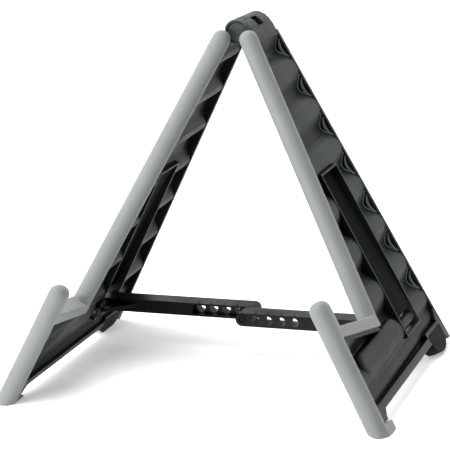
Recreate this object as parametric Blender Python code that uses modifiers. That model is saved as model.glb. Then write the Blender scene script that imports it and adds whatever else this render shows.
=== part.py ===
"""Folding A-frame guitar stand: two moulded legs on a top hinge, held open by a two-link brace.

Leg pieces are drawn for the right leg, in a leg frame whose origin lies on the hinge axis:
    x = n    distance outwards from the hinge axis, square to the leg
    y = s    depth, from front to back, along the hinge axis
    z = -t   t is the distance down the leg from the hinge axis
The left leg is the mirror image: side is +1 for the right leg and -1 for the left.
"""
from math import cos, pi, radians, sin, tan

import bmesh
import bpy
from mathutils import Matrix

MM = 0.001
GAP = 0.3 * MM                      # free gap between pieces that touch

# ---- driving dimensions -------------------------------------------------------------
LEG_LENGTH = 380 * MM               # hinge axis to the floor, along the leg
SPREAD = radians(27.8)              # each leg's angle from the vertical, stand open
PANEL_MID = 9.6 * MM                # hinge axis to the middle of the leg's thickness
PANEL_HALF = 6.0 * MM               # half the thickness of the moulded panel
PAD_RADIUS = 9.25 * MM              # half-round grey pads on the front edges
PAD_LIP = 2.5 * MM                  # how far a pad's sides run behind its round centre
BEAM_HALF = 5.0 * MM                # half the thickness of the beams behind the pads
BEAM_DEPTH = 8.0 * MM

UPPER_TILT = radians(14.4)          # upper rail leans back, seen from the side
UPPER_TOP = (53.2 * MM, 3.0 * MM)   # (s, t) of the pad centre's ends
UPPER_LENGTH = 303.0 * MM
LOWER_TILT = radians(6.6)
LOWER_TOP = (-113.3 * MM, 249.0 * MM)
LOWER_LENGTH = 136.0 * MM
POST_DEPTH = 13.0 * MM              # free end of the lower rail, behind its centre
POST_HEIGHT = 29.5 * MM
TOE_HEIGHT = 11.2 * MM
TOE_DEPTH = 21.5 * MM               # tail of the toe, behind the lower rail's centre
LEDGE_SLOPE = radians(12.5)
LEDGE_REAR = (-20.5 * MM, 308.6 * MM)
LEDGE_THICK = 11.0 * MM

BACK_TOP = (120.6 * MM, 9.0 * MM)   # the straight back edge
BACK_BOTTOM = (141.0 * MM, 376.0 * MM)
RIM = 5.0 * MM                      # thickness of the rim along the back edge
BOTTOM_EDGE = 365.2 * MM            # t of the bottom edge
BOTTOM_RIM = 7.5 * MM

WAVE_PITCH = 45.2 * MM
WAVE_FIRST = 32.7 * MM              # t of the first outer trough, at the back edge
WAVE_HEIGHT = 4.6 * MM              # amplitude of the sheet's middle surface
TROUGH_SHARPNESS = 1.7              # above 1, outer troughs are narrower than the crests
WAVE_SLOPE = 0.028                  # the waves drop this much towards the front
WAVE_COUNT = 7
SHEET = 2.4 * MM
PANEL_TOP = 15.0 * MM               # t where the sheet and the beams begin

HINGE_FRONT = 58.0 * MM
HINGE_REAR = 117.0 * MM
KNUCKLE_RADIUS = 12.5 * MM          # right leg's hood and rings
BARREL_RADIUS = 9.3 * MM            # left leg's barrel inside it
RING_LENGTH = 11.2 * MM
WASHER = 1.0 * MM
AXLE_RADIUS = 5.0 * MM
CAP_RADIUS = 9.2 * MM
CAP_THICK = 2.7 * MM
RUNNING = 0.2 * MM                  # radial clearance of turning pieces
NECK_END = 20.0 * MM

LINK_MID = 58.5 * MM                # depth of the plane where the two links meet
LINK_DEPTH = 21.5 * MM
LINK_HEIGHT = 13.7 * MM
PIVOT_T = 329.0 * MM
PIVOT_N = 7.2 * MM
PIVOT_PIN = 2.5 * MM
HOLE_PITCH = 13.7 * MM
HOLE_RADIUS = 4.8 * MM
HOLE_COUNT = 5
POCKET_DEPTH = 9.0 * MM
CHANNEL_WALL = 2.0 * MM
CHANNEL_SIDE = 1.5 * MM             # front clearance of the links in the channel
PIN_ROOM = 3.5 * MM                 # rear clearance, which the middle pin passes through
CHANNEL_TOP = 161.6 * MM
CHANNEL_BOTTOM = 337.6 * MM
CHANNEL_FLOOR_END = 318.5 * MM      # below this the channel is open right through
FLOOR = 1.2 * MM
FLOOR_GAP = 0.35 * MM               # between the folded links and the channel's floor

FOOT_FRONT = 83.8 * MM
FOOT_REAR = 128.2 * MM
FOOT_TOP = 357.0 * MM
FOOT_DEPTH = 22.8 * MM

# ---- values that follow from them ----------------------------------------------------
HINGE_HEIGHT = LEG_LENGTH * cos(SPREAD) - PANEL_MID * sin(SPREAD)
N_IN = PANEL_MID - PANEL_HALF
N_OUT = PANEL_MID + PANEL_HALF
FRONT_MOST = -137.9 * MM            # s of the lower pad's foremost point on the floor
DEPTH_SHIFT = -(FRONT_MOST + BACK_BOTTOM[0]) / 2
PIVOT_X = PIVOT_T * sin(SPREAD) + PIVOT_N * cos(SPREAD)
PIVOT_Z = HINGE_HEIGHT - PIVOT_T * cos(SPREAD) + PIVOT_N * sin(SPREAD)
LINK_LENGTH = PIVOT_X               # leg pivot to middle pin, which lies at x = 0
CHANNEL_FRONT = LINK_MID - LINK_DEPTH - CHANNEL_SIDE
CHANNEL_REAR = LINK_MID + LINK_DEPTH + PIN_ROOM

BLACK = ("moulded_black", (0.035, 0.040, 0.038), 0.42, 0.0)
GREY = ("soft_grey", (0.36, 0.38, 0.37), 0.62, 0.0)
RUBBER = ("foot_rubber", (0.020, 0.022, 0.021), 0.80, 0.0)
STEEL = ("pin_steel", (0.45, 0.45, 0.46), 0.30, 1.0)
NYLON = ("washer_nylon", (0.10, 0.10, 0.10), 0.50, 0.0)


# ---- scene helpers -------------------------------------------------------------------
def clear_scene():
    for obj in list(bpy.data.objects):
        bpy.data.objects.remove(obj, do_unlink=True)


def make_collection(name):
    collection = bpy.data.collections.new(name)
    bpy.context.scene.collection.children.link(collection)
    return collection


def make_material(node, spec):
    kind, colour, roughness, metallic = spec
    material = bpy.data.materials.new(node + "_" + kind)
    material.use_nodes = True
    shader = material.node_tree.nodes["Principled BSDF"]
    shader.inputs["Base Color"].default_value = (*colour, 1.0)
    shader.inputs["Roughness"].default_value = roughness
    shader.inputs["Metallic"].default_value = metallic
    return material


def leg_matrix(side):
    """Leg frame to world: mirrored for the left leg, swung out by SPREAD, hinge axis raised."""
    mirror = Matrix.Diagonal((side, 1.0, 1.0, 1.0))
    swing = Matrix.Rotation(-SPREAD, 4, "Y")
    return Matrix.Translation((0.0, DEPTH_SHIFT, HINGE_HEIGHT)) @ mirror @ swing


def rail_matrix(point, tilt):
    """Rail frame to leg frame: x = n, y = towards the back, z = up along the rail."""
    s, t = point
    return Matrix.Translation((0.0, s, -t)) @ Matrix.Rotation(-tilt, 4, "X")


def tool_object(name, mesh_data, matrix):
    obj = bpy.data.objects.new(name, mesh_data)
    TOOLS.objects.link(obj)
    obj.matrix_world = matrix
    obj.hide_render = True
    obj.display_type = "WIRE"
    return obj


def mesh_from(bm, name):
    bmesh.ops.recalc_face_normals(bm, faces=bm.faces)
    data = bpy.data.meshes.new(name)
    bm.to_mesh(data)
    bm.free()
    return data


def box(name, low, high, matrix, bevel=None):
    """Box between two corners; bevel lists (edge test, radius, segments)."""
    bm = bmesh.new()
    size = [b - a for a, b in zip(low, high)]
    centre = [(a + b) / 2 for a, b in zip(low, high)]
    bmesh.ops.create_cube(bm, size=1.0, matrix=Matrix.Translation(centre) @ Matrix.Diagonal((*size, 1.0)))
    for test, radius, segments in bevel or []:
        edges = [e for e in bm.edges if test((e.verts[0].co + e.verts[1].co) / 2)]
        bmesh.ops.bevel(bm, geom=edges, offset=radius, segments=segments, profile=0.5, affect="EDGES")
    return tool_object(name, mesh_from(bm, name), matrix)


def rod(name, radius, y_low, y_high, matrix, centre=(0.0, 0.0), segments=32):
    """Cylinder along y, round the point centre = (x, z)."""
    bm = bmesh.new()
    bmesh.ops.create_cone(bm, cap_ends=True, segments=segments, radius1=radius, radius2=radius,
                          depth=y_high - y_low)
    turn = Matrix.Rotation(pi / 2, 4, "X")
    move = Matrix.Translation((centre[0], (y_low + y_high) / 2, centre[1]))
    bmesh.ops.transform(bm, matrix=move @ turn, verts=bm.verts)
    return tool_object(name, mesh_from(bm, name), matrix)


def outline_mesh(name, points, thickness, turn):
    """Flat outline as a filled 2D curve, extruded by its thickness and turned into place."""
    curve = bpy.data.curves.new(name, "CURVE")
    curve.dimensions = "2D"
    curve.fill_mode = "BOTH"
    curve.extrude = thickness / 2
    spline = curve.splines.new("POLY")
    spline.points.add(len(points) - 1)
    for point, (u, v) in zip(spline.points, points):
        point.co = (u, v, 0.0, 1.0)
    spline.use_cyclic_u = True
    holder = bpy.data.objects.new(name, curve)
    TOOLS.objects.link(holder)
    evaluated = holder.evaluated_get(bpy.context.evaluated_depsgraph_get())
    data = bpy.data.meshes.new_from_object(evaluated)
    bpy.data.objects.remove(holder, do_unlink=True)
    bm = bmesh.new()
    bm.from_mesh(data)
    bpy.data.meshes.remove(data)
    bmesh.ops.remove_doubles(bm, verts=bm.verts, dist=0.00001)
    bmesh.ops.transform(bm, matrix=turn, verts=bm.verts)
    return mesh_from(bm, name)


def plate(name, points, n_low, n_high, matrix):
    """Plate in the plane of the leg, from (s, t) points, between two values of n."""
    turn = Matrix(((0, 0, 1, (n_low + n_high) / 2), (1, 0, 0, 0), (0, 1, 0, 0), (0, 0, 0, 1)))
    flipped = [(s, -t) for s, t in points]
    return tool_object(name, outline_mesh(name, flipped, n_high - n_low, turn), matrix)


def profile(name, points, s_low, s_high, matrix):
    """Solid run along the depth, from (n, t) points, between two values of s."""
    turn = Matrix(((1, 0, 0, 0), (0, 0, -1, (s_low + s_high) / 2), (0, 1, 0, 0), (0, 0, 0, 1)))
    flipped = [(n, -t) for n, t in points]
    return tool_object(name, outline_mesh(name, flipped, s_high - s_low, turn), matrix)


def boolean(target, tool, operation):
    modifier = target.modifiers.new(operation.lower() + "_" + tool.name, "BOOLEAN")
    modifier.operation = operation
    modifier.solver = "EXACT"
    modifier.object = tool


def rest_on_floor(bm):
    """Trim a piece flat at floor level."""
    geometry = bm.verts[:] + bm.edges[:] + bm.faces[:]
    cut = bmesh.ops.bisect_plane(bm, geom=geometry, dist=0.1e-6, plane_co=(0.0, 0.0, 0.0),
                                 plane_no=(0.0, 0.0, 1.0), clear_inner=True)
    rim = [item for item in cut["geom_cut"] if isinstance(item, bmesh.types.BMEdge)]
    bmesh.ops.edgeloop_fill(bm, edges=rim)


def as_part(obj, name, spec, place=Matrix(), on_floor=False):
    """Apply the modifiers of a drawn shape, put it in place and clear the workshop."""
    evaluated = obj.evaluated_get(bpy.context.evaluated_depsgraph_get())
    data = bpy.data.meshes.new_from_object(evaluated)
    bm = bmesh.new()
    bm.from_mesh(data)
    bmesh.ops.transform(bm, matrix=place @ obj.matrix_world, verts=bm.verts)
    if place.determinant() < 0:
        bmesh.ops.reverse_faces(bm, faces=bm.faces)
    if on_floor:
        rest_on_floor(bm)
    bm.to_mesh(data)
    bm.free()
    data.name = name
    data.materials.clear()
    data.materials.append(make_material(name, spec))
    data.shade_smooth()
    data.set_sharp_from_angle(angle=radians(35))
    part = bpy.data.objects.new(name, data)
    STAND.objects.link(part)
    for tool in list(TOOLS.objects):
        bpy.data.objects.remove(tool, do_unlink=True)
    return part


def box_in_leg(name, n_range, s_range, t_range, matrix):
    low = (n_range[0], s_range[0], -t_range[1])
    high = (n_range[1], s_range[1], -t_range[0])
    return box(name, low, high, matrix)


def box_in_rail(name, n_range, y_range, z_range, matrix, bevel=None):
    low = (n_range[0], y_range[0], z_range[0])
    high = (n_range[1], y_range[1], z_range[1])
    return box(name, low, high, matrix, bevel)


# ---- lines of the leg's outline ------------------------------------------------------
def upper_s(t):
    return UPPER_TOP[0] - (t - UPPER_TOP[1]) * tan(UPPER_TILT)


def lower_s(t):
    return LOWER_TOP[0] - (t - LOWER_TOP[1]) * tan(LOWER_TILT)


def back_s(t):
    slope = (BACK_BOTTOM[0] - BACK_TOP[0]) / (BACK_BOTTOM[1] - BACK_TOP[1])
    return BACK_TOP[0] + (t - BACK_TOP[1]) * slope


def ledge_t(s, above):
    """t of the line that lies the distance above over the ledge's underside."""
    return LEDGE_REAR[1] + (s - LEDGE_REAR[0]) * tan(LEDGE_SLOPE) - above / cos(LEDGE_SLOPE)


def post_back(above):
    """(s, t) where the free post's back face, with its gap, meets a line along the ledge."""
    s = lower_s(LEDGE_REAR[1])
    for _ in range(20):
        t = ledge_t(s, above)
        s = lower_s(t) + (POST_DEPTH + GAP) / cos(LOWER_TILT)
    return s, t


# ---- leg panels ----------------------------------------------------------------------
def wave_level(t_row):
    """Middle surface of the sheet: even waves, then low ridges below the last crest."""
    last_crest = WAVE_FIRST + (WAVE_COUNT - 0.5) * WAVE_PITCH
    if t_row <= last_crest:
        depth_share = (1 + cos(2 * pi * (t_row - WAVE_FIRST) / WAVE_PITCH)) / 2
        return PANEL_MID + WAVE_HEIGHT * (1 - 2 * depth_share ** TROUGH_SHARPNESS)
    ridges = [(0.0, 1.0), (5.0, 0.8), (9.5, 0.1), (13.0, 0.0), (18.0, 0.35), (22.5, 0.2), (26.0, -0.3),
              (60.0, -0.3)]
    below = (t_row - last_crest) / MM
    for (start, high), (end, low) in zip(ridges, ridges[1:]):
        if below <= end:
            return PANEL_MID + WAVE_HEIGHT * (high + (low - high) * (below - start) / (end - start))
    return PANEL_MID


def wave_sheet(matrix):
    """The corrugated sheet between the rims, as a grid given thickness by Solidify."""
    columns = [-128 * MM, -60 * MM, 10 * MM, 143 * MM]
    steps_per_wave = 12
    row_step = WAVE_PITCH / steps_per_wave
    first_row = PANEL_TOP - 8 * MM
    row_count = int((BOTTOM_EDGE - first_row) / row_step) + 1
    bm = bmesh.new()
    rows = []
    for row in range(row_count):
        t_row = first_row + row * row_step
        line = []
        for s in columns:
            t = t_row + WAVE_SLOPE * (BACK_BOTTOM[0] - s)
            line.append(bm.verts.new((wave_level(t_row), s, -t)))
        rows.append(line)
    for upper, lower in zip(rows, rows[1:]):
        for i in range(len(columns) - 1):
            bm.faces.new((upper[i], upper[i + 1], lower[i + 1], lower[i]))
    sheet = tool_object("sheet", mesh_from(bm, "sheet"), matrix)
    solidify = sheet.modifiers.new("thickness", "SOLIDIFY")
    solidify.thickness = SHEET
    solidify.offset = 0.0
    return sheet


def sheet_outline():
    """(s, t) outline that trims the sheet, along the middle of the rims and beams."""
    inset = PAD_LIP + GAP + BEAM_DEPTH / 2
    ledge = -GAP - 2 * MM
    corner_s = upper_s(LEDGE_REAR[1]) + inset
    front_s = lower_s(LEDGE_REAR[1]) + inset
    rim = RIM / 2
    return [(upper_s(PANEL_TOP) + inset, PANEL_TOP + 1 * MM),
            (corner_s, ledge_t(corner_s, ledge)),
            (front_s, ledge_t(front_s, ledge)),
            (lower_s(362 * MM) + inset, 362 * MM),
            (back_s(362 * MM) - rim, 362 * MM),
            (back_s(PANEL_TOP) - rim, PANEL_TOP + 1 * MM)]


def rims(matrix):
    """Edge bars: back rim, bottom rim, foot socket and the beams behind the pads."""
    n_range = (N_IN, N_OUT)
    beam = (PANEL_MID - BEAM_HALF, PANEL_MID + BEAM_HALF)
    back = [(back_s(PANEL_TOP) - RIM, PANEL_TOP), (back_s(PANEL_TOP), PANEL_TOP),
            BACK_BOTTOM, (BACK_BOTTOM[0] - RIM, BACK_BOTTOM[1]),
            (FOOT_REAR - 3 * MM, 366 * MM), (FOOT_REAR - 3 * MM, 350 * MM),
            (back_s(340 * MM) - RIM, 340 * MM)]
    yield plate("back_rim", back, *n_range, matrix)
    bottom = [(lower_s(358 * MM) + PAD_LIP + GAP, BOTTOM_EDGE - BOTTOM_RIM),
              (FOOT_FRONT + 3 * MM, BOTTOM_EDGE - BOTTOM_RIM), (FOOT_FRONT + 3 * MM, BOTTOM_EDGE),
              (lower_s(358 * MM) + PAD_LIP + GAP, BOTTOM_EDGE)]
    yield plate("bottom_rim", bottom, *n_range, matrix)
    socket = [(FOOT_FRONT - 4 * MM, FOOT_TOP - 4.3 * MM), (FOOT_REAR + 4 * MM, FOOT_TOP - 4.3 * MM),
              (FOOT_REAR + 4 * MM, FOOT_TOP + 1 * MM), (FOOT_FRONT - 4 * MM, FOOT_TOP + 1 * MM)]
    yield plate("foot_socket", socket, *n_range, matrix)
    y_range = (PAD_LIP + GAP, PAD_LIP + GAP + BEAM_DEPTH)
    frame = matrix @ rail_matrix(UPPER_TOP, UPPER_TILT)
    yield box_in_rail("upper_beam", beam, y_range, (-UPPER_LENGTH - 2 * MM, -PANEL_TOP), frame)
    frame = matrix @ rail_matrix(LOWER_TOP, LOWER_TILT)
    yield box_in_rail("lower_beam", beam, y_range, (-LOWER_LENGTH + TOE_HEIGHT + GAP, -44 * MM), frame)
    heel = [(lower_s(358 * MM) + 9 * MM, 360 * MM), (-96 * MM, 360 * MM), (-97.5 * MM, 366 * MM),
            (-103.5 * MM, 371.5 * MM), (-105 * MM, 374.9 * MM), (-124.5 * MM, 372.6 * MM)]
    yield plate("heel", heel, *beam, matrix)


def ledge_flange(matrix):
    """Black flange that carries the grey ledge."""
    rear = upper_s(LEDGE_REAR[1]) + PAD_LIP + 4 * MM
    front = lower_s(286 * MM) + PAD_LIP + GAP
    top = -GAP
    under = -GAP - 3.5 * MM
    points = [(front, ledge_t(front, top)), (rear, ledge_t(rear, top)),
              (rear, ledge_t(rear, under)), (front, ledge_t(front, under))]
    return plate("ledge_flange", points, PANEL_MID - BEAM_HALF, PANEL_MID + BEAM_HALF, matrix)


def channel_block(matrix):
    """Solid block and pivot bosses that the links' recess is cut from."""
    outer_front = CHANNEL_FRONT - CHANNEL_WALL
    outer_rear = CHANNEL_REAR + CHANNEL_WALL
    yield box_in_leg("channel_block", (N_IN + 0.2 * MM, N_OUT + 0.3 * MM), (outer_front, outer_rear),
                     (CHANNEL_TOP - CHANNEL_WALL, CHANNEL_BOTTOM + CHANNEL_WALL), matrix)
    centre = (PIVOT_N, -PIVOT_T)
    yield rod("pivot_boss", 6 * MM, outer_front - 3 * MM, outer_rear + 3 * MM, matrix, centre, 24)


def channel_cuts(matrix):
    """Recess for the folded links, open inwards, the recess behind its floor, room for the foot."""
    deep = PIVOT_N * (1 - (PIVOT_T - CHANNEL_FLOOR_END) / LINK_LENGTH) + LINK_HEIGHT / 2 + FLOOR_GAP
    shallow = LINK_HEIGHT / 2 + FLOOR_GAP
    inner = [(-20 * MM, CHANNEL_TOP), (shallow, CHANNEL_TOP), (deep, CHANNEL_FLOOR_END),
             (30 * MM, CHANNEL_FLOOR_END), (30 * MM, CHANNEL_BOTTOM), (-20 * MM, CHANNEL_BOTTOM)]
    yield profile("inner_recess", inner, CHANNEL_FRONT, CHANNEL_REAR, matrix)
    outer = [(30 * MM, CHANNEL_TOP), (shallow + FLOOR, CHANNEL_TOP),
             (deep + FLOOR, CHANNEL_FLOOR_END + 1 * MM), (30 * MM, CHANNEL_FLOOR_END + 1 * MM)]
    yield profile("outer_recess", outer, CHANNEL_FRONT, CHANNEL_REAR, matrix)
    yield box_in_leg("foot_room", (-20 * MM, 40 * MM), (FOOT_FRONT - GAP, FOOT_REAR + GAP),
                     (FOOT_TOP - GAP, LEG_LENGTH + 20 * MM), matrix)


def neck_points(start_n, start_t):
    """(n, t) outline of the neck between a hinge knuckle and the panel."""
    return [(0.0, start_t), (start_n, start_t), (start_n + 3.4 * MM, start_t + 3.6 * MM),
            (N_OUT - 1.1 * MM, start_t + 9 * MM), (N_OUT, start_t + 16 * MM), (N_OUT, NECK_END),
            (N_IN, NECK_END), (N_IN, 9 * MM)]


def right_knuckle(panel, matrix):
    """Hood and two rings of the right leg, with room for the left leg's barrel."""
    room = (HINGE_FRONT + RING_LENGTH, HINGE_REAR - RING_LENGTH)
    boolean(panel, rod("hood", KNUCKLE_RADIUS, HINGE_FRONT, HINGE_REAR, matrix, segments=40), "UNION")
    neck = neck_points(9 * MM, -8.2 * MM)
    boolean(panel, profile("right_neck", neck, HINGE_FRONT, HINGE_REAR, matrix), "UNION")
    cuts = [rod("barrel_room", BARREL_RADIUS + 2 * RUNNING, *room, matrix, segments=40),
            box_in_leg("window_top", (-20 * MM, -0.5 * MM), room, (-20 * MM, 20 * MM), matrix),
            box_in_leg("window_low", (-20 * MM, N_IN - GAP), room, (0.0, 30 * MM), matrix),
            rod("axle_bore", AXLE_RADIUS + RUNNING, HINGE_FRONT - 1 * MM, HINGE_REAR + 1 * MM, matrix),
            rod("cap_seat_front", CAP_RADIUS + GAP, HINGE_FRONT - 1 * MM, HINGE_FRONT + CAP_THICK + GAP,
                matrix, segments=40),
            rod("cap_seat_rear", CAP_RADIUS + GAP, HINGE_REAR - CAP_THICK - GAP, HINGE_REAR + 1 * MM,
                matrix, segments=40),
            box("hood_slot", (-5.5 * MM, 79 * MM, 8 * MM), (5.5 * MM, 95 * MM, 20 * MM),
                matrix @ Matrix.Rotation(radians(83), 4, "Y"))]
    for cut in cuts:
        boolean(panel, cut, "DIFFERENCE")


def left_knuckle(panel, matrix):
    """Barrel of the left leg, which turns between the right leg's rings."""
    inset = RING_LENGTH + WASHER + 2 * GAP
    span = (HINGE_FRONT + inset, HINGE_REAR - inset)
    boolean(panel, rod("barrel", BARREL_RADIUS, *span, matrix, segments=40), "UNION")
    neck = neck_points(8.4 * MM, -3.4 * MM)
    boolean(panel, profile("left_neck", neck, *span, matrix), "UNION")
    bore = rod("barrel_bore", AXLE_RADIUS + RUNNING, span[0] - 1 * MM, span[1] + 1 * MM, matrix)
    boolean(panel, bore, "DIFFERENCE")


def leg_panel(side, name):
    matrix = Matrix()
    panel = wave_sheet(matrix)
    trim = plate("sheet_trim", sheet_outline(), -5 * MM, 25 * MM, matrix)
    boolean(panel, trim, "INTERSECT")
    for part in (*rims(matrix), ledge_flange(matrix), *channel_block(matrix)):
        boolean(panel, part, "UNION")
    for cut in channel_cuts(matrix):
        boolean(panel, cut, "DIFFERENCE")
    if side > 0:
        right_knuckle(panel, matrix)
    else:
        left_knuckle(panel, matrix)
    pin_hole = rod("pivot_hole", PIVOT_PIN + RUNNING, CHANNEL_FRONT - 10 * MM, CHANNEL_REAR + 10 * MM,
                   matrix, (PIVOT_N, -PIVOT_T), 20)
    boolean(panel, pin_hole, "DIFFERENCE")
    return as_part(panel, name, BLACK, leg_matrix(side))


# ---- grey pads and feet --------------------------------------------------------------
def pad_range():
    return (PANEL_MID - PAD_RADIUS, PANEL_MID + PAD_RADIUS)


def upper_pad(side, name):
    """Half-round pad with a domed top, on the edge that the guitar leans against."""
    def rounded(middle):
        at_front = middle.y < -PAD_RADIUS + 0.01 * MM
        at_top = middle.z > -0.01 * MM
        at_side = abs(abs(middle.x) - PANEL_MID) > PAD_RADIUS - 0.01 * MM
        return (at_front and at_side) or (at_top and (at_front or at_side))

    frame = rail_matrix(UPPER_TOP, UPPER_TILT)
    round_off = [(rounded, PAD_RADIUS - 0.05 * MM, 6)]
    pad = box_in_rail("pad", pad_range(), (-PAD_RADIUS, PAD_LIP), (-UPPER_LENGTH, 0.0),
                      frame, round_off)
    return as_part(pad, name, GREY, leg_matrix(side))


def lower_pad(side, name):
    """Half-round retaining rail: free post above the ledge, toe under the heel below."""
    low, high = pad_range()
    outline = [(-PAD_RADIUS, 0.0), (-PAD_RADIUS, -LOWER_LENGTH), (TOE_DEPTH, -LOWER_LENGTH),
               (TOE_DEPTH, -LOWER_LENGTH + TOE_HEIGHT), (PAD_LIP, -LOWER_LENGTH + TOE_HEIGHT),
               (PAD_LIP, -POST_HEIGHT), (POST_DEPTH, -POST_HEIGHT), (POST_DEPTH, 0.0)]
    turn = Matrix(((0, 0, 1, PANEL_MID), (1, 0, 0, 0), (0, 1, 0, 0), (0, 0, 0, 1)))
    bm = bmesh.new()
    bm.from_mesh(outline_mesh("lower_pad", outline, high - low, turn))
    near = 0.01 * MM
    round_edges = []
    for edge in bm.edges:
        middle = (edge.verts[0].co + edge.verts[1].co) / 2
        at_side = abs(abs(middle.x) - PANEL_MID) > PAD_RADIUS - near
        at_front = middle.y < near - PAD_RADIUS
        at_back = middle.y > POST_DEPTH - near and middle.z > -POST_HEIGHT
        at_top = middle.z > -near
        if (at_side and (at_front or at_back)) or (at_top and (at_side or at_front or at_back)):
            round_edges.append(edge)
    bmesh.ops.bevel(bm, geom=round_edges, offset=8.6 * MM, segments=6, profile=0.5, affect="EDGES")
    frame = rail_matrix(LOWER_TOP, LOWER_TILT)
    pad = tool_object("lower_pad", mesh_from(bm, "lower_pad"), frame)
    return as_part(pad, name, GREY, leg_matrix(side), on_floor=True)


def ledge_pad(side, name):
    """Flat grey strip that the guitar's body stands on."""
    rear_top = ledge_t(LEDGE_REAR[0], LEDGE_THICK)
    points = [post_back(0.0), LEDGE_REAR, (LEDGE_REAR[0], rear_top), post_back(LEDGE_THICK)]
    low, high = pad_range()
    pad = plate("ledge", points, low, high, Matrix())
    return as_part(pad, name, GREY, leg_matrix(side))


def rear_foot(side, name):
    """Rubber foot, round below, plugged into the socket under the back corner."""
    middle = (FOOT_FRONT + FOOT_REAR) / 2
    half = (FOOT_REAR - FOOT_FRONT) / 2
    straight = 9 * MM
    count = 14
    points = [(FOOT_FRONT, FOOT_TOP), (FOOT_REAR, FOOT_TOP)]
    for i in range(count + 1):
        angle = pi * i / count
        points.append((middle + half * cos(angle),
                       FOOT_TOP + straight + (FOOT_DEPTH - straight) * sin(angle)))
    foot = plate("foot", points, N_IN - 0.5 * MM, N_OUT + 0.5 * MM, Matrix())
    return as_part(foot, name, RUBBER, leg_matrix(side), on_floor=True)


# ---- hinge ---------------------------------------------------------------------------
def hinge_pieces():
    frame = leg_matrix(1)
    seat = CAP_THICK + GAP
    axle = rod("axle", AXLE_RADIUS, HINGE_FRONT + seat + GAP, HINGE_REAR - seat - GAP, frame, segments=32)
    as_part(axle, "hinge_axle", STEEL)
    front = rod("cap", CAP_RADIUS, HINGE_FRONT + GAP, HINGE_FRONT + CAP_THICK, frame, segments=40)
    as_part(front, "hinge_front_cap", BLACK)
    rear = rod("cap", CAP_RADIUS, HINGE_REAR - CAP_THICK, HINGE_REAR - GAP, frame, segments=40)
    as_part(rear, "hinge_rear_cap", BLACK)
    starts = {"front": HINGE_FRONT + RING_LENGTH + GAP, "rear": HINGE_REAR - RING_LENGTH - GAP - WASHER}
    for place, start in starts.items():
        washer = rod("washer", BARREL_RADIUS, start, start + WASHER, frame, segments=32)
        hole = rod("washer_hole", AXLE_RADIUS + RUNNING, start - 1 * MM, start + WASHER + 1 * MM, frame)
        boolean(washer, hole, "DIFFERENCE")
        as_part(washer, "hinge_washer_" + place, NYLON)


# ---- folding brace -------------------------------------------------------------------
def link_frame(side):
    """World frame at a leg's brace pivot: x runs towards the stand's middle on both sides."""
    return Matrix.Translation((side * PIVOT_X, DEPTH_SHIFT, PIVOT_Z))


def along(side, start, end):
    """x range of something that lies between two distances from the pivot."""
    ends = sorted((-side * start, -side * end))
    return ends[0], ends[1]


def hole_distances():
    return [LINK_LENGTH - i * HOLE_PITCH for i in range(HOLE_COUNT)]


def brace_link(side, name):
    """Bar with five pin holes, a round free end and a wide barrel at its leg pivot."""
    frame = link_frame(side)
    half = LINK_HEIGHT / 2
    if side < 0:
        depth = (LINK_MID + GAP / 2, LINK_MID + LINK_DEPTH)
    else:
        depth = (LINK_MID - LINK_DEPTH, LINK_MID - GAP / 2)
    x_low, x_high = along(side, 0.0, LINK_LENGTH)
    link = box("link", (x_low, depth[0], -half), (x_high, depth[1], half), frame)
    end = rod("link_end", half, *depth, frame, (-side * LINK_LENGTH, 0.0), 32)
    barrel = rod("link_barrel", half, LINK_MID - LINK_DEPTH, LINK_MID + LINK_DEPTH, frame, segments=32)
    boolean(link, end, "UNION")
    boolean(link, barrel, "UNION")
    boolean(link, gusset(side, frame), "UNION")
    for distance in hole_distances():
        centre = (-side * distance, 0.0)
        hole = rod("pin_hole", HOLE_RADIUS, depth[0] - 1 * MM, depth[1] + 1 * MM, frame, centre, 20)
        boolean(link, hole, "DIFFERENCE")
        boolean(link, index_notch(side, distance, depth, frame), "DIFFERENCE")
    boolean(link, pocket(side, frame), "DIFFERENCE")
    bore = rod("pivot_bore", PIVOT_PIN + RUNNING, LINK_MID - 30 * MM, LINK_MID + 30 * MM, frame, segments=20)
    boolean(link, bore, "DIFFERENCE")
    return as_part(link, name, BLACK)


def gusset(side, frame):
    """Thin web that widens the link to the full length of its barrel."""
    thick = 4 * MM
    wide = LINK_MID + side * (LINK_DEPTH - 1 * MM)
    points = [(-side * 2 * MM, LINK_MID - side * 2 * MM), (-side * 2 * MM, wide),
              (-side * 10 * MM, wide), (-side * 38 * MM, LINK_MID - side * 2 * MM)]
    return tool_object("gusset", outline_mesh("gusset", points, thick, Matrix()), frame)


def index_notch(side, distance, depth, frame):
    """Small mark in the link's top, over a pin hole."""
    middle = -side * distance
    half = 0.7 * MM
    top = LINK_HEIGHT / 2
    return box("notch", (middle - half, depth[0] - 1 * MM, top - 0.6 * MM),
               (middle + half, depth[0] + 6 * MM, top + 1 * MM), frame)


def pocket(side, frame):
    """Long recess in the face towards the other link, round the holes that the pin doesn't use."""
    first = LINK_LENGTH - HOLE_COUNT * HOLE_PITCH + 7 * MM
    last = LINK_LENGTH - HOLE_PITCH + 4 * MM
    x_low, x_high = along(side, first, last)
    half = LINK_HEIGHT / 2 - 1.9 * MM
    deep = LINK_MID - side * POCKET_DEPTH
    y_low, y_high = sorted((deep, LINK_MID + side * 1 * MM))
    return box("pocket", (x_low, y_low, -half), (x_high, y_high, half), frame)


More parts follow.
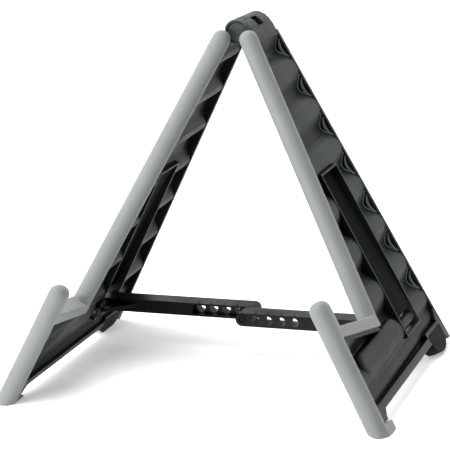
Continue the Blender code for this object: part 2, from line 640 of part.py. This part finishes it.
def brace_pins():
    """Pivot pins in the legs, and the middle pin as a front and a back half."""
    for side, place in ((-1, "left"), (1, "right")):
        pin = rod("pivot_pin", PIVOT_PIN, CHANNEL_FRONT - CHANNEL_WALL - 2.6 * MM,
                  CHANNEL_REAR + CHANNEL_WALL + 2.6 * MM, link_frame(side), segments=20)
        as_part(pin, place + "_pivot_pin", STEEL)
    frame = Matrix.Translation((0.0, DEPTH_SHIFT, PIVOT_Z))
    radius = HOLE_RADIUS - RUNNING
    front = rod("pin_front", radius, LINK_MID - LINK_DEPTH - 1.2 * MM, LINK_MID - GAP, frame, segments=24)
    face = LINK_MID - LINK_DEPTH
    ring = rod("pin_ring", 3.2 * MM, face - 3 * MM, face, frame, segments=24)
    boss = rod("pin_boss", 1.9 * MM, LINK_MID - LINK_DEPTH - 0.8 * MM, LINK_MID - LINK_DEPTH + 1 * MM,
               frame, segments=16)
    boolean(front, ring, "DIFFERENCE")
    boolean(front, boss, "UNION")
    as_part(front, "brace_pin_front", BLACK)
    rear = rod("pin_rear", radius, LINK_MID + GAP, LINK_MID + LINK_DEPTH + 2.6 * MM, frame, segments=24)
    groove = LINK_MID + LINK_DEPTH + 0.6 * MM
    outer = rod("groove_outer", radius + 1 * MM, groove, groove + 1.2 * MM, frame, segments=24)
    inner = rod("groove_inner", radius - 0.9 * MM, groove - 1 * MM, groove + 2.2 * MM, frame, segments=24)
    boolean(outer, inner, "DIFFERENCE")
    boolean(rear, outer, "DIFFERENCE")
    as_part(rear, "brace_pin_rear", BLACK)
    clip = rod("clip", radius + 1.8 * MM, groove + 0.2 * MM, groove + 1.0 * MM, frame, segments=24)
    hole = rod("clip_hole", radius - 0.7 * MM, groove - 1 * MM, groove + 2 * MM, frame, segments=24)
    mouth = box("clip_mouth", (-1.6 * MM, groove - 1 * MM, -20 * MM), (1.6 * MM, groove + 2 * MM, 0.0), frame)
    boolean(clip, hole, "DIFFERENCE")
    boolean(clip, mouth, "DIFFERENCE")
    as_part(clip, "brace_pin_clip", STEEL)


def build():
    for side, place in ((-1, "left"), (1, "right")):
        leg_panel(side, place + "_leg_panel")
        upper_pad(side, place + "_upper_pad")
        ledge_pad(side, place + "_ledge_pad")
        lower_pad(side, place + "_lower_pad")
        rear_foot(side, place + "_rear_foot")
        brace_link(side, place + "_brace_link")
    hinge_pieces()
    brace_pins()


clear_scene()
STAND = make_collection("folding_guitar_stand")
TOOLS = make_collection("cutters")
build()
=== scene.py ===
"""Looks for the folding guitar stand: camera, studio, materials and finely modelled details."""
from math import cos, pi, radians, sin

import bmesh
import bpy
from mathutils import Matrix, Vector


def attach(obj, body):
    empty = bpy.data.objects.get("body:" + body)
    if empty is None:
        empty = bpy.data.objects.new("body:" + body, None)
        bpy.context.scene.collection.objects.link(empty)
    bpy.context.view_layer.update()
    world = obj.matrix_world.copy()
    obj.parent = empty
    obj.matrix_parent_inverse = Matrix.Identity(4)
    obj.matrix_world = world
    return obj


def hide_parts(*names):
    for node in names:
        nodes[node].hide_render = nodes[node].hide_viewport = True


MM = 0.001
HINGE_HEIGHT = 331.66 * MM
DEPTH_SHIFT = -1.55 * MM    # hinge frame to world, along the depth
SPREAD = radians(27.8)      # each leg's angle from the vertical
PANEL_MID = 9.6 * MM        # hinge axis to the middle of a leg's thickness
PAD_RADIUS = 9.25 * MM
RIM = 5.0 * MM
WAVE_PITCH = 45.2 * MM
WAVE_FIRST = 32.7 * MM      # first trough, down the leg from the hinge
WAVE_HEIGHT = 4.6 * MM
WAVE_COUNT = 7
TROUGH_SHARPNESS = 1.7
RECESS_DEPTH = 59.5 * MM    # middle of the recess for the folded brace
RECESS_HALF_DEPTH = 23.8 * MM
RECESS_T = 249.6 * MM
RECESS_HALF_LENGTH = 87.8 * MM
BACK_START = 120.6 * MM     # back edge of a leg at its top
BACK_TOP = 9.0 * MM
BACK_SLOPE = 20.4 / 367.0   # how the back edge runs rearwards down the leg
SIDES = (("left", -1), ("right", 1))

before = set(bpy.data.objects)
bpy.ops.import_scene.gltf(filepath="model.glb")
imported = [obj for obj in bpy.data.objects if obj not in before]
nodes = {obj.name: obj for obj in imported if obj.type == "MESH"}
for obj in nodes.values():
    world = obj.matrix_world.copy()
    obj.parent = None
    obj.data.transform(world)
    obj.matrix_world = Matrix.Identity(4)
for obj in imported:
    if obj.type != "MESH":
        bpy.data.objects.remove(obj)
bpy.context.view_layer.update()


# ---- camera and studio ---------------------------------------------------------------
def add_camera():
    azimuth, elevation, roll = radians(20.17), radians(14.75), radians(-2.5)
    distance = 1.763
    target = Vector((0.0, DEPTH_SHIFT, HINGE_HEIGHT - 179.4 * MM))
    back = Vector((sin(azimuth) * cos(elevation), -cos(azimuth) * cos(elevation), sin(elevation)))
    level = Vector((cos(azimuth), sin(azimuth), 0.0))
    above = back.cross(level)
    right = level * cos(roll) + above * sin(roll)
    up = above * cos(roll) - level * sin(roll)
    data = bpy.data.cameras.new("camera")
    data.lens = 145.2
    data.sensor_width = 36.0
    data.clip_start = 0.01
    camera = bpy.data.objects.new("camera", data)
    bpy.context.scene.collection.objects.link(camera)
    turn = Matrix((right, up, back)).transposed().to_4x4()
    camera.matrix_world = Matrix.Translation(target + back * distance) @ turn
    bpy.context.scene.camera = camera


def add_area(name, location, aim, size, power):
    data = bpy.data.lights.new(name, "AREA")
    data.shape = "RECTANGLE"
    data.size, data.size_y = size
    data.energy = power
    light = bpy.data.objects.new(name, data)
    light.location = location
    light.rotation_mode = "QUATERNION"
    light.rotation_quaternion = (Vector(aim) - Vector(location)).to_track_quat("-Z", "Y")
    bpy.context.scene.collection.objects.link(light)


def flat_material(name, colour, roughness, glow=0.0):
    material = bpy.data.materials.new(name)
    material.use_nodes = True
    shader = material.node_tree.nodes["Principled BSDF"]
    shader.inputs["Base Color"].default_value = (*colour, 1.0)
    shader.inputs["Roughness"].default_value = roughness
    shader.inputs["Emission Color"].default_value = (1.0, 1.0, 1.0, 1.0)
    shader.inputs["Emission Strength"].default_value = glow
    return material


def add_sheet(name, size, place, material):
    bm = bmesh.new()
    bmesh.ops.create_grid(bm, x_segments=2, y_segments=2, size=size, matrix=place)
    data = bpy.data.meshes.new(name)
    bm.to_mesh(data)
    bm.free()
    data.materials.append(material)
    sheet = bpy.data.objects.new(name, data)
    bpy.context.scene.collection.objects.link(sheet)


def add_studio():
    """White floor and backdrop, a large softbox above, and three small ones round the front."""
    world = bpy.data.worlds.new("studio")
    world.use_nodes = True
    background = world.node_tree.nodes["Background"]
    background.inputs["Color"].default_value = (1.0, 1.0, 1.0, 1.0)
    background.inputs["Strength"].default_value = 0.14
    bpy.context.scene.world = world
    bpy.context.scene.view_settings.view_transform = "Standard"
    add_area("top", (-0.7, -0.3, 2.0), (0.0, 0.0, 0.0), (2.6, 2.2), 76.0)
    add_area("key", (-1.5, -1.2, 1.1), (0.0, 0.0, 0.15), (0.8, 0.8), 9.0)
    add_area("front", (-1.1, -1.7, 0.25), (0.0, 0.0, 0.15), (0.9, 0.6), 29.0)
    add_area("side", (1.6, -0.9, 0.9), (0.0, 0.0, 0.15), (0.6, 0.9), 1.0)
    add_sheet("floor", 30.0, Matrix(), flat_material("floor", (0.92, 0.92, 0.92), 0.9, glow=0.28))
    wall = Matrix.Translation((0.0, 3.0, 0.0)) @ Matrix.Rotation(pi / 2, 4, "X")
    add_sheet("backdrop", 30.0, wall, flat_material("backdrop", (0.9, 0.9, 0.9), 0.9, glow=0.75))


# ---- materials -----------------------------------------------------------------------
class Shade:
    """Small helper that builds one procedural material on the Principled shader."""

    def __init__(self, name, roughness, metallic=0.0, specular=0.5):
        self.material = bpy.data.materials.new(name)
        self.material.use_nodes = True
        self.tree = self.material.node_tree
        self.shader = self.tree.nodes["Principled BSDF"]
        self.shader.inputs["Roughness"].default_value = roughness
        self.shader.inputs["Metallic"].default_value = metallic
        self.shader.inputs["Specular IOR Level"].default_value = specular
        self.coordinates = self.tree.nodes.new("ShaderNodeTexCoord").outputs["Object"]

    def link(self, output, target):
        self.tree.links.new(output, target)

    def noise(self, scale, detail=4.0, stretch=None):
        node = self.tree.nodes.new("ShaderNodeTexNoise")
        node.inputs["Scale"].default_value = scale
        node.inputs["Detail"].default_value = detail
        source = self.coordinates
        if stretch:
            mapping = self.tree.nodes.new("ShaderNodeMapping")
            mapping.inputs["Scale"].default_value = stretch
            self.link(source, mapping.inputs["Vector"])
            source = mapping.outputs["Vector"]
        self.link(source, node.inputs["Vector"])
        return node.outputs["Fac"]

    def ramp(self, factor, stops):
        node = self.tree.nodes.new("ShaderNodeValToRGB")
        ramp = node.color_ramp
        for element, (position, colour) in zip(ramp.elements, (stops[0], stops[-1])):
            element.position = position
            element.color = (*colour, 1.0)
        for position, colour in stops[1:-1]:
            ramp.elements.new(position).color = (*colour, 1.0)
        self.link(factor, node.inputs["Fac"])
        return node.outputs["Color"]

    def spread(self, factor, low, high):
        node = self.tree.nodes.new("ShaderNodeMapRange")
        node.inputs["From Min"].default_value = 0.3
        node.inputs["From Max"].default_value = 0.7
        node.inputs["To Min"].default_value = low
        node.inputs["To Max"].default_value = high
        self.link(factor, node.inputs["Value"])
        return node.outputs["Result"]

    def mix(self, factor, first, second):
        node = self.tree.nodes.new("ShaderNodeMix")
        node.data_type = "RGBA"
        self.link(factor, node.inputs["Factor"])
        self.link(first, node.inputs["A"])
        self.link(second, node.inputs["B"])
        return node.outputs["Result"]

    def edges(self, low, high):
        """0 on flats and hollows, rising to 1 on worn convex edges."""
        geometry = self.tree.nodes.new("ShaderNodeNewGeometry")
        node = self.tree.nodes.new("ShaderNodeMapRange")
        node.inputs["From Min"].default_value = low
        node.inputs["From Max"].default_value = high
        self.link(geometry.outputs["Pointiness"], node.inputs["Value"])
        return node.outputs["Result"]

    def hollows(self, distance):
        """0 deep inside hollows, 1 on open faces."""
        node = self.tree.nodes.new("ShaderNodeAmbientOcclusion")
        node.samples = 8
        node.inputs["Distance"].default_value = distance
        return node.outputs["AO"]

    def dot(self, direction):
        node = self.tree.nodes.new("ShaderNodeVectorMath")
        node.operation = "DOT_PRODUCT"
        node.inputs[1].default_value = direction
        self.link(self.coordinates, node.inputs[0])
        return node.outputs["Value"]

    def near(self, value, middle, reach):
        """1 where value is within reach of middle, else 0."""
        node = self.tree.nodes.new("ShaderNodeMath")
        node.operation = "COMPARE"
        node.inputs[1].default_value = middle
        node.inputs[2].default_value = reach
        self.link(value, node.inputs[0])
        return node.outputs["Value"]

    def math(self, operation, first, second):
        node = self.tree.nodes.new("ShaderNodeMath")
        node.operation = operation
        self.link(first, node.inputs[0])
        if isinstance(second, float):
            node.inputs[1].default_value = second
        else:
            self.link(second, node.inputs[1])
        return node.outputs["Value"]

    def bump(self, layers, rounding=0.0):
        """layers are (height output, strength, distance) over edges softened by rounding."""
        normal = None
        if rounding:
            node = self.tree.nodes.new("ShaderNodeBevel")
            node.samples = 6
            node.inputs["Radius"].default_value = rounding
            normal = node.outputs["Normal"]
        for height, strength, distance in layers:
            node = self.tree.nodes.new("ShaderNodeBump")
            node.inputs["Strength"].default_value = strength
            node.inputs["Distance"].default_value = distance
            self.link(height, node.inputs["Height"])
            if normal:
                self.link(normal, node.inputs["Normal"])
            normal = node.outputs["Normal"]
        self.link(normal, self.shader.inputs["Normal"])


def back_s(t):
    """Depth of a leg's back edge at t down the leg."""
    return BACK_START + (t - BACK_TOP) * BACK_SLOPE


def moulded_plastic(name, tone=1.0, shade=True, recess_side=0):
    """Black moulded plastic: fine spark-eroded grain, dull and shiny patches, paler rubbed edges.

    tone scales the colour. shade paints shade into the hollows, where ambient occlusion darkens the
    colour. recess_side, +1 or -1, paints shade into the recess for the folded brace in that leg,
    which is also duller, and paints shade onto its back rim.
    """
    s = Shade(name, 0.42, specular=0.07)
    cloud = s.noise(28.0, 5.0)
    grain = s.noise(1900.0, 2.0)

    def pair(low, high):
        return [(0.32, [tone * c for c in low]), (0.68, [tone * c for c in high])]

    colour = s.ramp(cloud, pair((0.016, 0.022, 0.019), (0.027, 0.034, 0.031)))
    # the two darker colours below are painted shade: the first for hollows and the brace recess, the
    # second for the back rim
    deep = s.ramp(cloud, pair((0.0015, 0.002, 0.002), (0.003, 0.004, 0.0035)))
    painted_rim_shade = s.ramp(cloud, pair((0.0045, 0.006, 0.0055), (0.009, 0.011, 0.010)))
    if shade:
        # painted shade: ambient occlusion darkens the colour in hollows and crevices
        open_share = s.ramp(s.hollows(0.03), [(0.45, (0, 0, 0)), (0.92, (1, 1, 1))])
        colour = s.mix(open_share, deep, colour)
    if recess_side:
        up_leg = (-recess_side * sin(SPREAD), 0.0, cos(SPREAD))
        hinge_up = HINGE_HEIGHT * cos(SPREAD)
        across = s.near(s.dot((0.0, 1.0, 0.0)), DEPTH_SHIFT + RECESS_DEPTH, RECESS_HALF_DEPTH)
        lengthwise = s.near(s.dot(up_leg), hinge_up - RECESS_T, RECESS_HALF_LENGTH)
        in_recess = s.math("MULTIPLY", across, lengthwise)
        # painted shade: the recess for the folded brace takes the near-black colour
        colour = s.mix(in_recess, colour, deep)
        # painted shade: a band along the top of the back rim takes the darker rim colour
        over_rim = (up_leg[0] * BACK_SLOPE, 1.0, up_leg[2] * BACK_SLOPE)
        rim_middle = DEPTH_SHIFT + back_s(0.0) - RIM / 2 + hinge_up * BACK_SLOPE
        colour = s.mix(s.near(s.dot(over_rim), rim_middle, RIM / 2 + 0.4 * MM), colour, painted_rim_shade)
    rubbed = s.ramp(grain, pair((0.045, 0.050, 0.047), (0.075, 0.082, 0.078)))
    s.link(s.mix(s.edges(0.53, 0.62), colour, rubbed), s.shader.inputs["Base Color"])
    dullness = s.spread(cloud, 0.36, 0.52)
    if recess_side:
        dullness = s.math("ADD", dullness, s.math("MULTIPLY", in_recess, 0.45))
    s.link(dullness, s.shader.inputs["Roughness"])
    scuffs = s.noise(160.0, 3.0, (1.0, 1.0, 0.12))
    s.bump([(grain, 0.10, 0.0004), (scuffs, 0.06, 0.0008)], rounding=0.5 * MM)
    return s.material


def soft_grey(name):
    """Grey thermoplastic rubber: matte, faintly mottled, with fine pores."""
    s = Shade(name, 0.6, specular=0.35)
    s.shader.inputs["Sheen Weight"].default_value = 0.08
    mottle = s.noise(22.0, 6.0)
    pores = s.noise(1300.0, 3.0)
    s.link(s.ramp(mottle, [(0.3, (0.175, 0.187, 0.181)), (0.7, (0.205, 0.218, 0.211))]),
           s.shader.inputs["Base Color"])
    s.link(s.spread(mottle, 0.52, 0.68), s.shader.inputs["Roughness"])
    s.bump([(pores, 0.12, 0.0004), (mottle, 0.05, 0.001)])
    return s.material


def foot_rubber(name):
    s = Shade(name, 0.8, specular=0.12)
    dust = s.noise(60.0, 6.0)
    pores = s.noise(1100.0, 3.0)
    s.link(s.ramp(dust, [(0.35, (0.005, 0.006, 0.006)), (0.75, (0.014, 0.015, 0.015))]),
           s.shader.inputs["Base Color"])
    s.link(s.spread(dust, 0.70, 0.88), s.shader.inputs["Roughness"])
    s.bump([(pores, 0.2, 0.0005)])
    return s.material


def pin_steel(name):
    s = Shade(name, 0.3, metallic=1.0)
    drawn = s.noise(700.0, 4.0, (1.0, 0.04, 1.0))
    s.link(s.ramp(drawn, [(0.3, (0.33, 0.33, 0.34)), (0.7, (0.50, 0.50, 0.51))]),
           s.shader.inputs["Base Color"])
    s.link(s.spread(drawn, 0.24, 0.42), s.shader.inputs["Roughness"])
    s.bump([(drawn, 0.1, 0.0003)])
    return s.material


def nylon(name):
    s = Shade(name, 0.5, specular=0.4)
    mottle = s.noise(200.0, 4.0)
    s.link(s.ramp(mottle, [(0.3, (0.06, 0.06, 0.06)), (0.7, (0.09, 0.09, 0.088))]),
           s.shader.inputs["Base Color"])
    s.link(s.spread(mottle, 0.42, 0.58), s.shader.inputs["Roughness"])
    s.bump([(mottle, 0.08, 0.0004)])
    return s.material


def dress_nodes():
    """Give every carried-over node its finish."""
    makers = {"foot": foot_rubber, "washer": nylon, "axle": pin_steel, "pivot_pin": pin_steel,
              "clip": pin_steel, "pad": soft_grey}
    for name, obj in nodes.items():
        maker = next((maker for key, maker in makers.items() if key in name), None)
        if name.endswith("_leg_panel"):
            side = 1 if name.startswith("right") else -1
            material = moulded_plastic(name + "_finish", recess_side=side)
        elif maker:
            material = maker(name + "_finish")
        elif name.startswith("brace") or "link" in name:
            material = moulded_plastic(name + "_finish", tone=0.24)
        else:
            material = moulded_plastic(name + "_finish")
        for material_slot in obj.material_slots:
            material_slot.material = material


# ---- finely modelled pieces ------------------------------------------------------------
def leg_matrix(side):
    """Leg frame (x = n outwards, y = depth, z = -t down the leg) to world, mirrored for the left."""
    mirror = Matrix.Diagonal((side, 1.0, 1.0, 1.0))
    swing = Matrix.Rotation(-SPREAD, 4, "Y")
    return Matrix.Translation((0.0, DEPTH_SHIFT, HINGE_HEIGHT)) @ mirror @ swing


def new_piece(name, data, material, body):
    data.materials.clear()
    data.materials.append(material)
    piece = bpy.data.objects.new(name, data)
    bpy.context.scene.collection.objects.link(piece)
    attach(piece, body)
    return piece


def applied(data, modifiers):
    """Mesh after the listed (type, settings) modifiers."""
    holder = bpy.data.objects.new("holder", data)
    bpy.context.scene.collection.objects.link(holder)
    for kind, settings in modifiers:
        modifier = holder.modifiers.new(kind.lower(), kind)
        for key, value in settings.items():
            setattr(modifier, key, value)
    evaluated = holder.evaluated_get(bpy.context.evaluated_depsgraph_get())
    result = bpy.data.meshes.new_from_object(evaluated)
    bpy.data.objects.remove(holder, do_unlink=True)
    return result


def add_block(bm, low, high, matrix):
    size = [b - a for a, b in zip(low, high)]
    centre = [(a + b) / 2 for a, b in zip(low, high)]
    place = matrix @ Matrix.Translation(centre) @ Matrix.Diagonal((*size, 1.0))
    bmesh.ops.create_cube(bm, size=1.0, matrix=place)


def grey_cover(place, side):
    """One moulding over the front edges: rail, ledge and post, run together with small fillets.

    A block at each inner corner joins the covers before they are remeshed and smoothed as one.
    """
    parts = [place + "_upper_pad", place + "_ledge_pad", place + "_lower_pad"]
    bm = bmesh.new()
    for part in parts:
        bm.from_mesh(nodes[part].data)
    low, high = PANEL_MID - PAD_RADIUS, PANEL_MID + PAD_RADIUS
    post_corner = leg_matrix(side) @ Matrix.Translation((0.0, -104.5 * MM, -284.4 * MM))
    post_corner = post_corner @ Matrix.Rotation(radians(-12.5), 4, "X")
    add_block(bm, (low, -11.5 * MM, -5.3 * MM), (high, 2 * MM, 5.3 * MM), post_corner)
    rail_corner = leg_matrix(side) @ Matrix.Translation((0.0, -24.5 * MM, -296 * MM))
    low, high = low + 1.5 * MM, high - 1.5 * MM
    add_block(bm, (low, -2 * MM, -4 * MM), (high, 3.5 * MM, 4 * MM), rail_corner)
    bmesh.ops.recalc_face_normals(bm, faces=bm.faces)
    data = bpy.data.meshes.new(place + "_grey_cover")
    bm.to_mesh(data)
    bm.free()
    data = applied(data, [("REMESH", {"mode": "VOXEL", "voxel_size": 0.8 * MM}),
                          ("SMOOTH", {"factor": 0.6, "iterations": 7})])
    data.shade_smooth()
    cover = new_piece(place + "_grey_cover", data, soft_grey(place + "_cover_grey"), place + "_leg")
    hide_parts(*parts)


def tube_curve(name, radius):
    curve = bpy.data.curves.new(name, "CURVE")
    curve.dimensions = "3D"
    curve.bevel_depth = radius
    curve.bevel_resolution = 3
    curve.use_fill_caps = True
    return curve


def tube_mesh(curve):
    holder = bpy.data.objects.new(curve.name, curve)
    bpy.context.scene.collection.objects.link(holder)
    data = bpy.data.meshes.new_from_object(holder.evaluated_get(bpy.context.evaluated_depsgraph_get()))
    bpy.data.objects.remove(holder, do_unlink=True)
    return data


def into_leg(data, side):
    """Move a mesh drawn in the leg frame to its leg, with its faces still turned outwards."""
    data.transform(leg_matrix(side))
    if side < 0:
        data.flip_normals()
    data.shade_smooth()


def rib_point(middle, share):
    """Point and radius of the rib along a trough's near edge, share running from -1 to 1."""
    offset = share * 12.5 * MM
    depth = ((1 + cos(2 * pi * offset / WAVE_PITCH)) / 2) ** TROUGH_SHARPNESS
    n = PANEL_MID + WAVE_HEIGHT * (1 - 2 * depth) + 1.7 * MM
    s = back_s(middle + offset) - RIM - 4.6 * MM * (1.0 - share * share)
    return (n, s, -(middle + offset), 1.0), 0.6 - 0.3 * share ** 4


def far_wall_point(middle, share):
    """Point and radius of the bulge on the rim behind a trough."""
    t = middle + (2.0 + share * 10.5) * MM
    bulge = 1.0 - share * share
    n = PANEL_MID + (4.4 - 4.2 * bulge) * MM
    return (n, back_s(t) - RIM + 0.4 * MM, -t, 1.0), 0.3 + 1.2 * bulge


def trough_ribs(place, side):
    """Half-moon pockets where the outer troughs run out at the back rim: near edge and far wall,
    coloured lighter as painted highlights.
    """
    steps = 22
    curve = tube_curve("ribs", 1.15 * MM)
    for k in range(WAVE_COUNT):
        for place_point in (rib_point, far_wall_point):
            spline = curve.splines.new("POLY")
            spline.points.add(steps)
            for i, point in enumerate(spline.points):
                middle = WAVE_FIRST + k * WAVE_PITCH
                point.co, point.radius = place_point(middle, 2.0 * i / steps - 1.0)
    data = tube_mesh(curve)
    into_leg(data, side)
    # painted highlight: the ribs are coloured 4.6 times lighter than the panel, with no painted hollow
    # shade, to stand in for light caught on each pocket's near edge and far wall
    black = moulded_plastic(place + "_rib_painted_highlight", tone=4.6, shade=False)
    ribs = new_piece(place + "_trough_ribs", data, black, place + "_leg")


def crowned_boss(place, side):
    """Raised round-ended boss under the ledge on the leg's outer face, flat-topped with soft edges."""
    front, rear = -91 * MM, 13.5 * MM
    middle, half = 323 * MM, 11.5 * MM
    base, top = 6.0 * MM, 16.6 * MM
    squareness = 5
    rings, turns = 14, 24
    bm = bmesh.new()
    loops = []
    for ring in range(1, rings + 1):
        reach = sin(ring / rings * pi / 2)
        height = base + (top - base) * (1.0 - reach ** squareness) ** (1 / squareness)
        loop = []
        for centre, start in ((rear, -pi / 2), (front, pi / 2)):
            for turn in range(turns + 1):
                angle = start + pi * turn / turns
                s = centre + half * reach * cos(angle)
                t = middle + half * reach * sin(angle)
                loop.append(bm.verts.new((height, s, -t)))
        loops.append(loop)
    for inner, outer in zip(loops, loops[1:]):
        for i in range(len(inner)):
            j = (i + 1) % len(inner)
            bm.faces.new((inner[i], outer[i], outer[j], inner[j]))
    bm.faces.new(loops[0])
    bm.faces.new(loops[-1])
    bmesh.ops.recalc_face_normals(bm, faces=bm.faces)
    data = bpy.data.meshes.new(place + "_boss")
    bm.to_mesh(data)
    bm.free()
    into_leg(data, side)
    black = moulded_plastic(place + "_boss_black", tone=0.75)
    boss = new_piece(place + "_body_boss", data, black, place + "_leg")


def bead(start, end, tube_radius, ring_radius, depth):
    """Bead round the hinge axis, from one angle to another, 0 being up the right leg."""
    steps = 64
    curve = tube_curve("bead", tube_radius)
    spline = curve.splines.new("POLY")
    spline.points.add(steps)
    for i, point in enumerate(spline.points):
        angle = start + (end - start) * i / steps
        point.co = (ring_radius * sin(angle), depth, ring_radius * cos(angle), 1.0)
    data = tube_mesh(curve)
    into_leg(data, 1)
    return data


def hinge_trim():
    """Lip and step bead of the hood, and the raised rings of its front cap, all coloured lighter as
    painted highlights.
    """
    hood, cap = "right_leg_panel", "hinge_front_cap"
    trims = (("hood_lip", hood, radians(-45), radians(80), 0.95, 12.0, 57.3),
             ("hood_step", hood, radians(4), radians(112), 0.5, 12.45, 72.5),
             ("cap_outer_ring", cap, -pi, pi, 0.5, 8.3, 58.3),
             ("cap_inner_ring", cap, -pi, pi, 0.35, 5.6, 58.3))
    for name, node, start, end, tube_radius, ring_radius, depth in trims:
        data = bead(start, end, tube_radius * MM, ring_radius * MM, depth * MM)
        # painted highlight: the trims are coloured 2.4 times lighter than the plastic, with no painted
        # hollow shade, to stand in for light caught on the lip, the bead and the rings
        black = moulded_plastic(name + "_black", tone=2.4, shade=False)
        new_piece(name, data, black, "right_leg")


add_camera()
add_studio()
dress_nodes()
for place, side in SIDES:
    grey_cover(place, side)
    trough_ribs(place, side)
    crowned_boss(place, side)
hinge_trim()
